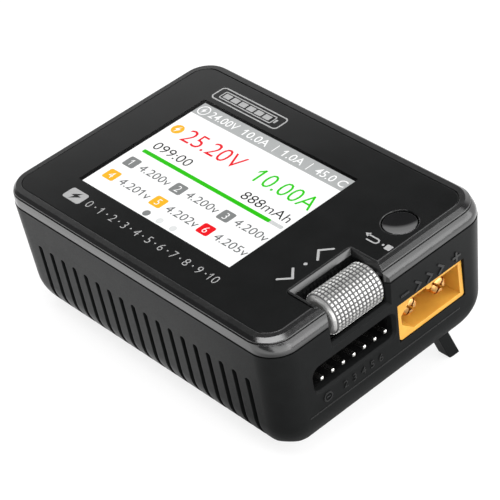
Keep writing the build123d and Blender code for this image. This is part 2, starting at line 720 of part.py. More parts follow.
def power_housing(side, centre_y):
    y0, y1 = centre_y - POWER_W / 2, centre_y + POWER_W / 2
    z0, z1 = POWER_Z - POWER_H / 2, POWER_Z + POWER_H / 2
    shell = (
        (y0 + 0.5, z0), (y1 - 0.3, z0), (y1, z0 + 0.3), (y1, z1 - 0.3),
        (y1 - 0.3, z1), (y0 + 0.5, z1), (y0, z1 - 0.5), (y0, z0 + 0.5),
    )
    front, back, low, high = y0 + 0.9, y1 - 0.9, z0 + 0.85, z1 - 0.85
    mouth = (
        (front + KEY, low), (back, low), (back, high), (front + KEY, high),
        (front, high - KEY * 0.85), (front, low + KEY * 0.85),
    )
    with BuildPart() as piece:
        with BuildSketch(Plane.YZ.offset(side * HOUSING_X0)):
            with BuildLine():
                Polyline(*shell, close=True)
            make_face()
        extrude(amount=side * (POWER_FACE - HOUSING_X0))
        # mouth, with a half-round rib left at its top
        with BuildSketch(Plane.YZ.offset(side * POWER_FACE)):
            with BuildLine():
                Polyline(*mouth, close=True)
            make_face()
            with Locations((centre_y, high)):
                Circle(0.75, mode=Mode.SUBTRACT)
        extrude(amount=-side * MOUTH_DEPTH, mode=Mode.SUBTRACT)
        # holes for the pins' tails
        with BuildSketch(Plane.YZ.offset(side * POWER_FACE)):
            with Locations(*bullet_places(centre_y)):
                Circle(TAIL_R + FIT)
        extrude(amount=-side * 20, mode=Mode.SUBTRACT)
    return piece.part


def power_pins(side, centre_y):
    places = bullet_places(centre_y)
    with BuildPart() as piece:
        with BuildSketch(Plane.YZ.offset(side * TAIL_X0)):
            with Locations(*places):
                Circle(TAIL_R)
        extrude(amount=side * (BULLET_X - TAIL_X0))
        with BuildSketch(Plane.YZ.offset(side * BULLET_X)):
            with Locations(*places):
                Circle(BULLET_R)
        extrude(amount=side * (BULLET_TIP - BULLET_X))
        # round the tips, which are the outermost circles
        circles = piece.edges().filter_by(GeomType.CIRCLE).group_by(Axis.X)
        fillet(circles[-1 if side > 0 else 0], 0.8)
        # bore and cross slits
        with BuildSketch(Plane.YZ.offset(side * POWER_FACE)):
            with Locations(*places):
                Circle(0.55)
                Rectangle(0.45, 5, rotation=45)
                Rectangle(0.45, 5, rotation=-45)
        extrude(amount=-side * 7.5, mode=Mode.SUBTRACT)
        # solder legs
        with Locations(*[(side * SOLDER_X, y, mid(POWER_Z, BOARD_Z1)) for y, z in places]):
            Box(2.0, 2.4, POWER_Z - BOARD_Z1 - 2 * GAP)
    return piece.part


def output_housing():
    return power_housing(1, OUT_Y)


def output_pins():
    return power_pins(1, OUT_Y)


def input_housing():
    return power_housing(-1, IN_Y)


def input_pins():
    return power_pins(-1, IN_Y)


# ---- balance port ----------------------------------------------------------
BALANCE_X0, BALANCE_X1 = 24.6, 34.0
PINS_X0 = 23.2


def balance_housing():
    foot_top = BALANCE_Z0 - 0.42
    foot_z = mid(ON_BOARD, foot_top)
    with BuildPart() as piece:
        with BuildSketch(Plane.YZ.offset(BALANCE_X0)):
            with Locations(BALANCE_CENTRE):
                Rectangle(BALANCE_W + 1.3, BALANCE_H + 1.4)
        extrude(amount=BALANCE_X1 - BALANCE_X0)
        # mouth
        with BuildSketch(Plane.YZ.offset(BALANCE_X1)):
            with Locations(BALANCE_CENTRE):
                RectangleRounded(BALANCE_W - 0.1, BALANCE_H - 0.1, 1.0)
        extrude(amount=-7.4, mode=Mode.SUBTRACT)
        # pin holes
        with BuildSketch(Plane.YZ.offset(28)):
            with Locations((PINS_Y, PINS_Z)):
                with GridLocations(PINS_PITCH, 1, PINS_COUNT, 1):
                    Rectangle(PIN_HOLE, PIN_HOLE)
        extrude(amount=-5, mode=Mode.SUBTRACT)
        # feet down to the board
        with Locations((29.0, BALANCE_Y0 + 0.2, foot_z), (29.0, BALANCE_Y1 - 0.2, foot_z)):
            Box(6.0, 1.6, foot_top - ON_BOARD)
    return piece.part


def balance_pins():
    with BuildPart() as piece:
        with BuildSketch(Plane.YZ.offset(PINS_X0)):
            with Locations((PINS_Y, PINS_Z)):
                with GridLocations(PINS_PITCH, 1, PINS_COUNT, 1):
                    Rectangle(PIN_W, PIN_W)
        extrude(amount=PINS_TIP - PINS_X0)
        chamfer(piece.faces().filter_by(Axis.X).group_by(Axis.X)[-1].edges(), 0.19)
        # tails down to the board
        with BuildSketch(Plane.XY.offset(ON_BOARD)):
            with Locations((PINS_X0 + PIN_W / 2, PINS_Y)):
                with GridLocations(1, PINS_PITCH, 1, PINS_COUNT):
                    Rectangle(PIN_W, PIN_W)
        extrude(amount=PINS_Z - ON_BOARD)
    return piece.part


# ---- input-end data port and signal header -----------------------------------
USB_X0, USB_L, USB_PLUG_L = -34.6, 7.3, 1.0


def usb_shell():
    with BuildPart() as piece:
        with BuildSketch(Plane.YZ.offset(USB_X0)):
            with Locations((USB_Y, USB_Z)):
                RectangleRounded(8.94, 3.26, 1.6)
                RectangleRounded(8.34, 2.66, 1.3, mode=Mode.SUBTRACT)
        extrude(amount=USB_L)
        # closed inner end
        with BuildSketch(Plane.YZ.offset(USB_X0 + USB_L - USB_PLUG_L)):
            with Locations((USB_Y, USB_Z)):
                RectangleRounded(8.4, 2.7, 1.3)
        extrude(amount=USB_PLUG_L)
    return piece.part


def usb_tongue():
    with BuildPart() as piece:
        with BuildSketch(Plane.YZ.offset(-33.6)):
            with Locations((USB_Y, USB_Z)):
                RectangleRounded(6.6, 0.7, 0.2)
        extrude(amount=5.28)
    return piece.part


def signal_housing():
    with BuildPart() as piece:
        with BuildSketch(Plane.YZ.offset(-33.85)):
            with Locations((SIGNAL_Y, SIGNAL_Z)):
                Rectangle(7.3, 4.1)
                Rectangle(6.4, 3.0, mode=Mode.SUBTRACT)
        extrude(amount=7.55)
        # block that holds the pins
        with BuildSketch(Plane.YZ.offset(-27.3)):
            with Locations((SIGNAL_Y, SIGNAL_Z)):
                Rectangle(6.8, 3.4)
                with GridLocations(SIGNAL_PITCH, 1, SIGNAL_COUNT, 1):
                    Rectangle(PIN_HOLE, PIN_HOLE, mode=Mode.SUBTRACT)
        extrude(amount=1.6)
    return piece.part


def signal_pins():
    with BuildPart() as piece:
        with BuildSketch(Plane.YZ.offset(-33.6)):
            with Locations((SIGNAL_Y, SIGNAL_Z)):
                with GridLocations(SIGNAL_PITCH, 1, SIGNAL_COUNT, 1):
                    Rectangle(PIN_W, PIN_W)
        extrude(amount=9.0)
        # tails down to the board
        with BuildSketch(Plane.XY.offset(ON_BOARD)):
            with Locations((-24.3, SIGNAL_Y)):
                with GridLocations(1, SIGNAL_PITCH, 1, SIGNAL_COUNT):
                    Rectangle(PIN_W, PIN_W)
        extrude(amount=SIGNAL_Z - ON_BOARD)
    return piece.part


# ---- parts on the main board -------------------------------------------------
CAPACITOR_PLACES = ((13.2, -4.0), (13.2, -11.5), (-11.5, -4.5), (-11.5, -12.5))
CAPACITOR_BASE_H = 0.8
CHIP_PLACE = (1.5, -7.5)
BUZZER_PLACE, BUZZER_H = (4.5, -16.9), 5.0

# Stack under the board: power switches, thermal pad, heat sink
STACK_PLACE = (-19.5, -2.0)
SWITCH_H, PAD_H = 1.0, 0.5
SWITCH_TOP = BOARD_Z0 - GAP
PAD_TOP = SWITCH_TOP - SWITCH_H - GAP
SINK_TOP = PAD_TOP - PAD_H - GAP
SINK_PLACE, SINK_L, SINK_BASE_H, FIN_H = (-18.3, -1.0), 17.6, 1.2, 3.9


def power_inductor():
    with BuildPart() as piece:
        with BuildSketch(Plane.XY.offset(ON_BOARD)):
            with Locations((2.0, 8.0)):
                RectangleRounded(13.4, 12.8, 1.2)
        extrude(amount=6.8)
        chamfer(piece.faces().sort_by(Axis.Z)[-1].edges(), 0.6)
    return piece.part


def capacitors():
    """Cans on square bases."""
    with BuildPart() as piece:
        with BuildSketch(Plane.XY.offset(ON_BOARD)):
            with Locations(*CAPACITOR_PLACES):
                RectangleRounded(6.6, 6.6, 1.0)
        extrude(amount=CAPACITOR_BASE_H)
        with BuildSketch(Plane.XY.offset(ON_BOARD + CAPACITOR_BASE_H)):
            with Locations(*CAPACITOR_PLACES):
                Circle(3.15)
        extrude(amount=6.9)
        fillet(piece.edges().filter_by(GeomType.CIRCLE).group_by(Axis.Z)[-1], 0.4)
    return piece.part


def controller_chip():
    with BuildPart() as piece:
        with BuildSketch(Plane.XY.offset(ON_BOARD)):
            with Locations(CHIP_PLACE):
                RectangleRounded(7.0, 7.0, 0.3)
        extrude(amount=1.2)
        # thin cross reaching out past all four sides
        with BuildSketch(Plane.XY.offset(ON_BOARD)):
            with Locations(CHIP_PLACE):
                Rectangle(9.0, 5.6)
                Rectangle(5.6, 9.0)
        extrude(amount=0.3)
    return piece.part


def shunt_resistors():
    with BuildPart() as piece:
        with BuildSketch(Plane.XY.offset(ON_BOARD)):
            with Locations((12.6, 4.6), (12.6, 10.0)):
                Rectangle(3.2, 6.4, rotation=90)
        extrude(amount=0.6)
    return piece.part


def buzzer():
    with BuildPart() as piece:
        with BuildSketch(Plane.XY.offset(ON_BOARD)):
            with Locations(BUZZER_PLACE):
                Circle(4.2)
        extrude(amount=BUZZER_H)
        with BuildSketch(Plane.XY.offset(ON_BOARD + BUZZER_H)):
            with Locations(BUZZER_PLACE):
                Circle(1.0)
        extrude(amount=-2.0, mode=Mode.SUBTRACT)
    return piece.part


def power_switches():
    with BuildPart() as piece:
        with BuildSketch(Plane.XY.offset(SWITCH_TOP)):
            with Locations(STACK_PLACE):
                with GridLocations(8.0, 7.4, 2, 2):
                    Rectangle(5.2, 6.0)
        extrude(amount=-SWITCH_H)
    return piece.part


def thermal_pad():
    with BuildPart() as piece:
        with BuildSketch(Plane.XY.offset(PAD_TOP)):
            with Locations(STACK_PLACE):
                Rectangle(15.0, 15.0)
        extrude(amount=-PAD_H)
    return piece.part


def heat_sink():
    """Base plate with fins hanging below it, running along X."""
    with BuildPart() as piece:
        with BuildSketch(Plane.XY.offset(SINK_TOP)):
            with Locations(SINK_PLACE):
                Rectangle(SINK_L, 21.0)
        extrude(amount=-SINK_BASE_H)
        with BuildSketch(Plane.XY.offset(SINK_TOP - SINK_BASE_H)):
            with Locations(SINK_PLACE):
                with GridLocations(1, 2.5, 1, 9):
                    Rectangle(SINK_L, 0.8)
        extrude(amount=-FIN_H)
    return piece.part


# ---- fan -------------------------------------------------------------------
FAN_X, FAN_Y, FAN_SIZE, FAN_Z0, FAN_H = 5.0, -0.6, 25.0, 2.2, 6.0
FAN_TOP = FAN_Z0 + FAN_H
SPIDER_T = 0.8         # disc and three arms across the frame's top
BLADES, BLADE_R0, BLADE_L = 7, 4.5, 6.6


def fan_frame():
    with BuildPart() as piece:
        with BuildSketch(Plane.XY.offset(FAN_Z0)):
            with Locations((FAN_X, FAN_Y)):
                RectangleRounded(FAN_SIZE, FAN_SIZE, 1.8)
                Circle(11.7, mode=Mode.SUBTRACT)
                with GridLocations(20, 20, 2, 2):
                    Circle(1.4, mode=Mode.SUBTRACT)
        extrude(amount=FAN_H)
        with BuildSketch(Plane.XY.offset(FAN_TOP)):
            with Locations((FAN_X, FAN_Y)):
                Circle(4.6)
                with PolarLocations(8.2, 3, 90):
                    Rectangle(8.0, 1.2)
        extrude(amount=-SPIDER_T)
        # spindle the rotor turns on
        with BuildSketch(Plane.XY.offset(FAN_TOP - SPIDER_T)):
            with Locations((FAN_X, FAN_Y)):
                Circle(0.7)
        extrude(amount=-3.2)
    return piece.part


def fan_rotor():
    with BuildPart() as piece:
        with BuildSketch(Plane.XY.offset(FAN_Z0 + 0.5)):
            with Locations((FAN_X, FAN_Y)):
                Circle(4.9)
        extrude(amount=4.4)
        # bore for the spindle
        with BuildSketch(Plane.XY.offset(FAN_Z0 + 1.3)):
            with Locations((FAN_X, FAN_Y)):
                Circle(0.76)
        extrude(amount=4.0, mode=Mode.SUBTRACT)
        # pitched blades, each drawn across its own radius
        for k in range(BLADES):
            angle = radians(360 * k / BLADES)
            blade_plane = Plane(
                (FAN_X, FAN_Y, FAN_Z0 + 2.7),
                x_dir=(-sin(angle), cos(angle), 0),
                z_dir=(cos(angle), sin(angle), 0),
            )
            with BuildSketch(blade_plane.offset(BLADE_R0)):
                Rectangle(4.6, 0.55, rotation=38)
            extrude(amount=BLADE_L)
    return piece.part


# ---- stand -----------------------------------------------------------------
def stand():
    """Two legs on one bar, swung open: they lean down and back."""
    lean = radians(LEG_LEAN)
    with BuildPart() as piece:
        with BuildSketch(Plane.YZ.offset(-LEG_X - LEG_W / 2)):
            with Locations((HINGE_Y, HINGE_Z)):
                Circle(BAR_R)
        extrude(amount=2 * LEG_X + LEG_W)
        for side in (1, -1):
            leg_plane = Plane(
                (side * LEG_X, HINGE_Y, HINGE_Z), x_dir=(1, 0, 0), z_dir=(0, sin(lean), -cos(lean))
            )
            with BuildSketch(leg_plane):
                Rectangle(LEG_W, LEG_T)
            extrude(amount=(HINGE_Z - FOOT_Z) / cos(lean) + 1.2)
        # level feet with a rounded front corner
        with Locations((0, HINGE_Y + 2, FOOT_Z - 2)):
            Box(70, 12, 4, mode=Mode.SUBTRACT)
        toes = piece.edges().filter_by(Axis.X).group_by(Axis.Z)[0]
        fillet(toes.sort_by(Axis.Y)[0:2], 0.95)
    return piece.part


# ---- fasteners -------------------------------------------------------------
def screws(grid, bearing_z, outward, head_r, head_h, slot_depth, length):
    """Cross-slotted screws; outward is 1 with the heads above bearing_z, -1 below."""
    with BuildPart() as piece:
        with BuildSketch(Plane.XY.offset(bearing_z)):
            with GridLocations(*grid):
                Circle(head_r)
        extrude(amount=outward * head_h)
        with BuildSketch(Plane.XY.offset(bearing_z + outward * head_h)):
            with GridLocations(*grid):
                Rectangle(2.0, 0.5)
                Rectangle(0.5, 2.0)
        extrude(amount=-outward * slot_depth, mode=Mode.SUBTRACT)
        with BuildSketch(Plane.XY.offset(bearing_z)):
            with GridLocations(*grid):
                Circle(SHANK_R)
        extrude(amount=-outward * length)
    return piece.part


def case_screws():
    return screws(
        POST_GRID, SEAT_Z - GAP, outward=-1, head_r=1.8, head_h=1.38, slot_depth=0.8, length=16.0
    )


def board_screws():
    return screws(
        BOARD_GRID, ON_BOARD, outward=1, head_r=1.75, head_h=1.2, slot_depth=0.7, length=5.5
    )


# ---- build and export: each file is named after its function -----------------
PIECES = (
    lower_case, upper_case, top_panel,
    lcd_panel, lcd_backlight, lcd_frame, lcd_ribbon,
    exit_button, exit_switch, exit_plunger,
    scroll_wheel, wheel_axle, wheel_carriage, wheel_encoder, wheel_switch, wheel_plunger,
    main_board, display_board, board_link, link_pins,
    output_housing, output_pins, input_housing, input_pins,
    balance_housing, balance_pins,
    usb_shell, usb_tongue, signal_housing, signal_pins,
    power_inductor, capacitors, controller_chip, shunt_resistors, buzzer,
    power_switches, thermal_pad, heat_sink,
    fan_frame, fan_rotor,
    stand, case_screws, board_screws,
)

os.makedirs("parts", exist_ok=True)
for make_piece in PIECES:
    name = make_piece.__name__
    part = make_piece()
    part.label = name
    export_step(part, f"parts/{name}.step")
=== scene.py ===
# A pocket battery charger: a dark case with a glossy top panel over a lit display. The
# panel faces +Z, the end wall with the output and balance sockets faces +X.
import bpy
import bmesh
import json
import math
from contextlib import contextmanager
from mathutils import Vector, Matrix


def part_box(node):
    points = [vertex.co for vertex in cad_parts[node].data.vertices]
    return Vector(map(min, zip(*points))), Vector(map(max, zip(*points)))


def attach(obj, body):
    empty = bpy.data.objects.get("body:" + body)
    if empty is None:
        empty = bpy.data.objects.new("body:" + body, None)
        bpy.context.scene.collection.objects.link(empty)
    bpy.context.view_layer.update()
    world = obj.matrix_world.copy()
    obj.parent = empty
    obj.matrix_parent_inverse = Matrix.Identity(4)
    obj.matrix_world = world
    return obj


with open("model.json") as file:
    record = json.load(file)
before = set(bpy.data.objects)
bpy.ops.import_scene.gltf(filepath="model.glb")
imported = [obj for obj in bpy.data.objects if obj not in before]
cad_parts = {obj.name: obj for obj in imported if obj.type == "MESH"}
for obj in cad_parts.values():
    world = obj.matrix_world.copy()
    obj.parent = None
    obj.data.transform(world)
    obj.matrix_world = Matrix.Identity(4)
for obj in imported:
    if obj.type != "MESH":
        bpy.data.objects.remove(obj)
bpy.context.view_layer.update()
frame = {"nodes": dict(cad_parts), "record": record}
MM = 0.001


def box_mm(name):
    """Low and high corners of a CAD piece, in millimetres."""
    return [[c / MM for c in corner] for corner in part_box(name)]


# ------------------------------------------------------------------ colours and node graphs
def linear(hex_colour):
    """Linear colour from a hex string."""
    parts = [int(hex_colour[i:i + 2], 16) / 255 for i in (1, 3, 5)]
    return [c / 12.92 if c <= 0.04045 else ((c + 0.055) / 1.055) ** 2.4 for c in parts]


def tint(colour, factor):
    return [min(1.0, c * factor) for c in colour]


def grey(value):
    return (value, value, value)


class Graph:
    """Node tree of a material or a world."""

    def __init__(self, block, output_kind):
        block.use_nodes = True
        self.block = block
        self.tree = block.node_tree
        self.tree.nodes.clear()
        self.output = self.node(output_kind)

    def put(self, node, key, value):
        """Sets an input, or links it; a node stands for its first output."""
        socket = node.inputs[key]
        if isinstance(value, bpy.types.Node):
            value = value.outputs[0]
        if isinstance(value, bpy.types.NodeSocket):
            self.tree.links.new(value, socket)
        elif isinstance(value, (list, tuple)) and socket.type == "RGBA":
            socket.default_value = list(value)[:3] + [1.0]
        else:
            socket.default_value = value

    def node(self, kind, inputs=None, **settings):
        node = self.tree.nodes.new(kind)
        for key, value in settings.items():
            setattr(node, key, value)
        for key, value in (inputs or {}).items():
            self.put(node, key, value)
        return node

    def remap(self, value, to, span=(0.3, 0.7), **settings):
        """Maps the span of the value to the range `to`."""
        return self.node("ShaderNodeMapRange", {
            "Value": value, "From Min": span[0], "From Max": span[1],
            "To Min": to[0], "To Max": to[1]}, **settings)

    def done(self, shader):
        self.put(self.output, "Surface", shader)
        return self.block


class Material(Graph):
    """Material graph whose textures run in object coordinates, in millimetres."""

    def __init__(self, name):
        super().__init__(bpy.data.materials.new(name), "ShaderNodeOutputMaterial")
        coords = self.node("ShaderNodeTexCoord").outputs["Object"]
        per_mm = (1 / MM, 1 / MM, 1 / MM)
        self.mm = self.node("ShaderNodeMapping", {"Vector": coords, "Scale": per_mm})

    def noise(self, size, detail=3.0, roughness=0.6, stretch=None):
        """Noise with features of the given size in mm."""
        vector = self.mm
        if stretch:
            vector = self.node("ShaderNodeMapping", {"Vector": vector, "Scale": stretch})
        return self.node("ShaderNodeTexNoise", {
            "Vector": vector, "Scale": 1.0 / size, "Detail": detail,
            "Roughness": roughness}).outputs["Fac"]

    def math(self, operation, a, b=0.0, clamp=False):
        return self.node("ShaderNodeMath", {0: a, 1: b, 2: 0.0},
                         operation=operation, use_clamp=clamp)

    def mix(self, factor, a, b):
        """Colour mix; 6 and 7 are the colour inputs, 2 the colour output."""
        return self.node("ShaderNodeMix", {0: factor, 6: a, 7: b}, data_type="RGBA").outputs[2]

    def xyz(self):
        return self.node("ShaderNodeSeparateXYZ", {"Vector": self.mm}).outputs

    def bevel(self, radius):
        return self.node("ShaderNodeBevel", {"Radius": radius * MM}, samples=6)

    def bump(self, depth, height):
        return self.node("ShaderNodeBump", {
            "Strength": 1.0, "Distance": depth * MM, "Height": height})

    def length(self, a, b):
        """Length of the vector (a, b)."""
        squares = self.math("ADD", self.math("MULTIPLY", a, a), self.math("MULTIPLY", b, b))
        return self.math("SQRT", squares)


# ------------------------------------------------------------------ materials
def solid(name, base, second=None, rough=0.5, gloss_var=0.08, metal=0.0, ior=1.5, spec=0.5,
          mottle=0.12, grain=0.5, stretch=None, bump=0.004, bump_size=0.12, bevel=0.12,
          edge_highlight=0.0, sss=0.0):
    """Moulded, turned or cast surface: mottled colour and gloss, fine grain, soft edges
    lightened by a painted highlight.

    Grain, bump, bump_size and bevel are in mm; the edge-lightening argument sets how far the
    colour lightens along edges, a painted highlight.
    """
    g = Material(name)
    blotch = g.noise(size=grain * 8, detail=2.0)
    fine = g.noise(size=grain, detail=4.0, stretch=stretch)
    colour = g.mix(g.remap(blotch, to=(0, 1)),
                   tint(base, 1 - mottle), tint(second or base, 1 + mottle))
    colour = g.mix(g.remap(fine, to=(0, 0.5)), colour, tint(base, 1 - mottle * 0.6))
    roughness = g.math("ADD", g.remap(fine, to=(rough - gloss_var, rough + gloss_var)),
                       g.remap(blotch, to=(-gloss_var * 0.4, gloss_var * 0.4)), clamp=True)
    normal = None
    if bevel:
        normal = g.bevel(bevel)
        if edge_highlight:
            # painted highlight: the colour lightens where the bevelled normal turns away from
            # the flat one, along edges
            flat = g.node("ShaderNodeNewGeometry").outputs["Normal"]
            facing = g.node("ShaderNodeVectorMath", {0: normal, 1: flat},
                            operation="DOT_PRODUCT").outputs["Value"]
            edge_highlight_mask = g.remap(facing, to=(edge_highlight, 0.0), span=(0.75, 0.995))
            colour = g.mix(edge_highlight_mask, colour, tint(base, 2.2))
    if bump:
        relief_bump = g.bump(bump, g.noise(size=bump_size, stretch=stretch))
        if normal is not None:
            g.put(relief_bump, "Normal", normal)
        normal = relief_bump
    shader = g.node("ShaderNodeBsdfPrincipled", {
        "Base Color": colour, "Roughness": roughness, "Metallic": metal, "IOR": ior,
        "Coat Weight": 0.0, "Coat Roughness": 0.08, "Specular IOR Level": spec})
    if sss:
        g.put(shader, "Subsurface Weight", sss)
        g.put(shader, "Subsurface Radius", (1.0, 0.5, 0.2))
        g.put(shader, "Subsurface Scale", 0.6 * MM)
    if normal is not None:
        g.put(shader, "Normal", normal)
    return g.done(shader)


def glow(name, base):
    """Lit display colour, with the faint cell grid and backlight falloff of a small panel."""
    cell, grid_depth = 0.16, 0.06
    g = Material(name)
    x, y = g.xyz()[0], g.xyz()[1]
    waves = [g.math("SINE", g.math("MULTIPLY", axis, 2 * math.pi / cell)) for axis in (x, y)]
    grid = g.remap(g.math("MAXIMUM", *waves), to=(1.0, 1.0 - grid_depth), span=(0.6, 1.0))
    falloff = g.remap(g.noise(size=14, detail=1.0), to=(0.975, 1.0))
    power = g.math("MULTIPLY", g.math("MULTIPLY", grid, falloff), 1.0)
    light = g.node("ShaderNodeEmission", {"Color": base, "Strength": power})
    surface = g.node("ShaderNodeBsdfDiffuse", {"Color": tint(base, 0.15)})
    return g.done(g.node("ShaderNodeAddShader", {0: light, 1: surface}))


def knurl_material(name):
    """Bright turned aluminium, rougher down in the grooves of the knurl, whose colour turns dark
    there as painted shade.
    """
    end_band = 0.55                           # smooth band at each end of the wheel
    groove_floor, groove_top = 0.24, 0.07     # depths below the wheel's outside
    (x0, y0, z0), (x1, y1, z1) = box_mm("scroll_wheel")
    radius = (z1 - z0) / 2
    g = Material(name)
    x, y, z = g.xyz()
    from_axis = g.length(g.math("SUBTRACT", x, (x0 + x1) / 2),
                         g.math("SUBTRACT", z, (z0 + z1) / 2))
    from_end = g.math("MINIMUM", g.math("SUBTRACT", y, y0), g.math("SUBTRACT", y1, y))
    body = g.math("GREATER_THAN", from_end, end_band)
    groove = g.remap(from_axis, to=(1.0, 0.0), span=(radius - groove_floor, radius - groove_top))
    shaded_grooves = g.math("MULTIPLY", groove, body)
    fine = g.noise(size=0.3, detail=4.0)
    bright = g.mix(g.remap(fine, to=(0, 1)), (0.74, 0.74, 0.73), (0.86, 0.855, 0.84))
    roughness = g.math("ADD", g.remap(fine, to=(0.26, 0.38)), g.math("MULTIPLY", shaded_grooves, 0.3))
    # painted shade: the base colour turns dark down in the grooves
    return g.done(g.node("ShaderNodeBsdfPrincipled", {
        "Base Color": g.mix(shaded_grooves, bright, (0.11, 0.11, 0.112)), "Roughness": roughness,
        "Metallic": 0.84, "Normal": g.bump(0.002, g.noise(size=0.1))}))


def board_material(name):
    """Solder mask over copper: tracks, pours and tinned vias."""
    g = Material(name)
    tracks = g.node("ShaderNodeTexBrick", {
        "Vector": g.mm, "Scale": 0.55, "Mortar Size": 0.045, "Color1": (0.012, 0.085, 0.04),
        "Color2": (0.018, 0.11, 0.05), "Mortar": (0.03, 0.17, 0.07)}).outputs
    spots = g.node("ShaderNodeTexVoronoi", {"Vector": g.mm, "Scale": 0.5})
    via = g.math("LESS_THAN", spots.outputs["Distance"], 0.2)
    mask = g.mix(g.remap(g.noise(size=3.0), to=(0, 0.6)), tracks["Color"], (0.01, 0.06, 0.03))
    return g.done(g.node("ShaderNodeBsdfPrincipled", {
        "Base Color": g.mix(via, mask, (0.75, 0.7, 0.55)),
        "Roughness": g.remap(g.noise(size=0.6), to=(0.25, 0.45)),
        "Metallic": via, "Normal": g.bump(0.02, tracks["Fac"])}))


# The lit area of the display, and the panel over it
SCREEN_W, SCREEN_H = 40.8, 30.6
SCREEN_SHIFT = 0.9       # lit area's centre from the display's, along X
WINDOW_MARGIN = 0.06     # clear window beyond the lit area, each side
panel_lo, panel_hi = box_mm("top_panel")
lcd_lo, lcd_hi = box_mm("lcd_panel")
SCREEN_X = (lcd_lo[0] + lcd_hi[0]) / 2 + SCREEN_SHIFT - SCREEN_W / 2
SCREEN_Y = (lcd_lo[1] + lcd_hi[1]) / 2 - SCREEN_H / 2
SCREEN_Z = lcd_hi[2]
PANEL_TOP = panel_hi[2]


def panel_material(name):
    """Clear sheet printed black, open over the display: gloss with faint wipe marks."""
    g = Material(name)
    x, y = g.xyz()[0], g.xyz()[1]

    def within(axis, start, size):
        offset = g.math("ABSOLUTE", g.math("SUBTRACT", axis, start + size / 2))
        return g.math("LESS_THAN", offset, size / 2 + WINDOW_MARGIN)

    window = g.math("MULTIPLY", within(x, SCREEN_X, SCREEN_W), within(y, SCREEN_Y, SCREEN_H))
    smear = g.noise(size=9.0, stretch=(0.4, 1.6, 1))
    black = g.mix(g.remap(g.noise(size=5.0), to=(0, 1)),
                  (0.0042, 0.0045, 0.0045), (0.0062, 0.0065, 0.0066))
    ink = g.node("ShaderNodeBsdfPrincipled", {
        "Base Color": black, "Roughness": g.remap(smear, to=(0.045, 0.095)), "IOR": 1.5,
        "Coat Weight": 0.15, "Coat Roughness": 0.2, "Normal": g.bevel(0.1)})
    clear = g.node("ShaderNodeBsdfTransparent", {"Color": grey(0.985)})
    gloss = g.node("ShaderNodeBsdfGlossy", {"Roughness": 0.05, "Color": grey(0.9)})
    fresnel = g.node("ShaderNodeFresnel", {"IOR": 1.3})
    # only the upper face of the window reflects
    upper = g.math("GREATER_THAN", g.xyz()[2], (panel_lo[2] + panel_hi[2]) / 2)
    glass = g.node("ShaderNodeMixShader", {
        0: g.math("MULTIPLY", fresnel, upper), 1: clear, 2: gloss})
    return g.done(g.node("ShaderNodeMixShader", {0: window, 1: ink, 2: glass}))


CHARCOAL = [0.0090, 0.0095, 0.0096]
SOLIDS = {
    "case_plastic": dict(base=CHARCOAL, rough=0.4, grain=0.35, bevel=0.16, edge_highlight=0.12,
                         gloss_var=0.05, spec=0.07),
    "cap_plastic": dict(base=[0.007, 0.0072, 0.0073], rough=0.2, grain=0.8, bump=0.0, bevel=0.1,
                        gloss_var=0.03, ior=1.78),
    "metal_frame": dict(base=[0.6, 0.6, 0.62], rough=0.32, metal=1.0, grain=0.3,
                        stretch=(0.15, 2, 2)),
    "white_plastic": dict(base=[0.7, 0.7, 0.68], sss=0.1),
    "ribbon": dict(base=[0.42, 0.16, 0.03], second=[0.5, 0.22, 0.05], rough=0.35, grain=0.4),
    "button_gloss": dict(base=[0.006, 0.006, 0.0065], rough=0.05, grain=0.6, bump=0.0,
                         bevel=0.08, gloss_var=0.015, ior=1.8),
    "switch_black": dict(base=[0.02, 0.02, 0.021], rough=0.45, grain=0.3, edge_highlight=0.3),
    "steel": dict(base=[0.55, 0.55, 0.56], rough=0.3, metal=1.0, grain=0.3,
                  stretch=(3, 0.2, 3)),
    "bracket_black": dict(base=[0.016, 0.016, 0.017], rough=0.48, grain=0.4, edge_highlight=0.3),
    "gold": dict(base=[0.83, 0.42, 0.13], second=[0.95, 0.56, 0.22], rough=0.24, metal=1.0,
                 mottle=0.1, grain=0.4, bevel=0.1, bump_size=0.25),
    "amber_nylon": dict(base=[0.64, 0.315, 0.04], second=[0.70, 0.375, 0.058], rough=0.38,
                        grain=0.7, bump=0.006, bump_size=0.3, bevel=0.16, sss=0.25,
                        mottle=0.06),
    "pin_tin": dict(base=[0.8, 0.79, 0.76], rough=0.24, metal=1.0, grain=0.3, bevel=0.08),
    "ferrite": dict(base=[0.08, 0.08, 0.083], rough=0.75, grain=0.25, bump=0.02,
                    bump_size=0.15, mottle=0.3),
    "can_aluminium": dict(base=[0.72, 0.72, 0.74], rough=0.35, metal=1.0, stretch=(1, 1, 0.1)),
    "sink_aluminium": dict(base=[0.5, 0.51, 0.53], rough=0.42, metal=1.0, grain=0.4,
                           stretch=(0.1, 2, 2)),
    "pad_grey": dict(base=[0.3, 0.36, 0.42], rough=0.8, grain=0.6, bump=0.03, bump_size=0.3),
    "screw_black": dict(base=[0.03, 0.03, 0.032], rough=0.35, metal=0.6, grain=0.2),
    "header_black": dict(base=[0.0035, 0.0035, 0.0037], rough=0.6, grain=0.3, spec=0.12,
                         bevel=0.06),
    "panel_ink": dict(base=[0.008, 0.008, 0.0085], rough=0.15, grain=1.0, bump=0.0, bevel=0.0),
    "legend_ink": dict(base=linear("#989898"), rough=0.4, grain=0.3, bump=0.0, bevel=0.0,
                       mottle=0.08),
    # the raised marks carry the strongest painted highlight on their edges
    "emboss_plastic": dict(base=tint(CHARCOAL, 0.7), rough=0.3, grain=0.3, bump_size=0.15,
                           bevel=0.06, edge_highlight=0.4),
}
materials = {name: solid(name, **look) for name, look in SOLIDS.items()}
materials["knurled_metal"] = knurl_material("knurled_metal.001")
materials["board_green"] = board_material("board_green")
materials["panel_gloss"] = panel_material("panel_gloss")
